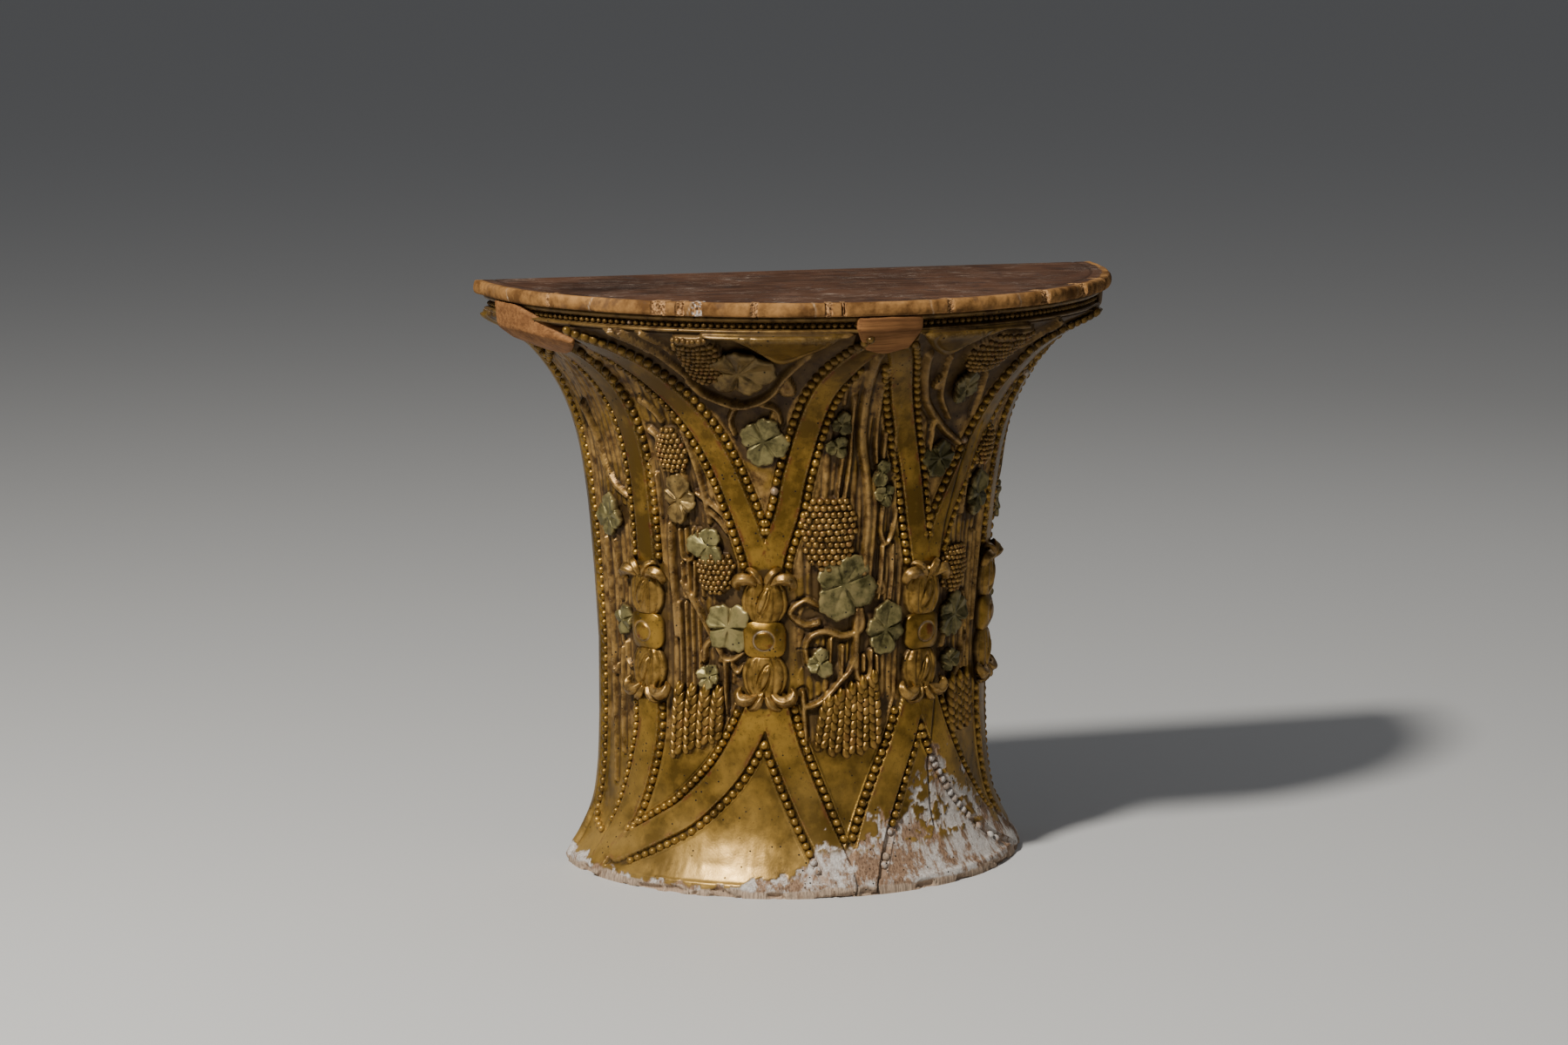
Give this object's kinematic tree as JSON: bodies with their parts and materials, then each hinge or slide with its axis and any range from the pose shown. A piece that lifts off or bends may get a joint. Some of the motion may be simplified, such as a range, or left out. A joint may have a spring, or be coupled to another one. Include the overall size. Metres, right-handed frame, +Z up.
{
  "type": "wall console bracket",
  "caption": "Half-round carved and gilt softwood console drum that flares to a half-round board, with ribbons, beads, vine leaves, grapes and wheat; hollow, open at the back.",
  "frame": {"origin": "middle of the foot's box, on the floor", "axes": "+Z up, -Y the carved front, +Y towards the wall"},
  "size_m": [0.8566, 0.4064, 0.78],
  "materials": {
    "gilt_carving": "old water gilding over red clay ground, dusty in the hollows, burnished on the ribbons",
    "board_top": "worn brown paint over softwood, with an ochre edge",
    "bare_wood": "bare, unfinished softwood"
  },
  "bodies": {
    "root": {"carved_body": "gilt_carving", "top_board": "board_top", "scroll_block_left": "bare_wood", "scroll_block_centre": "bare_wood"}
  },
  "joints": []
}
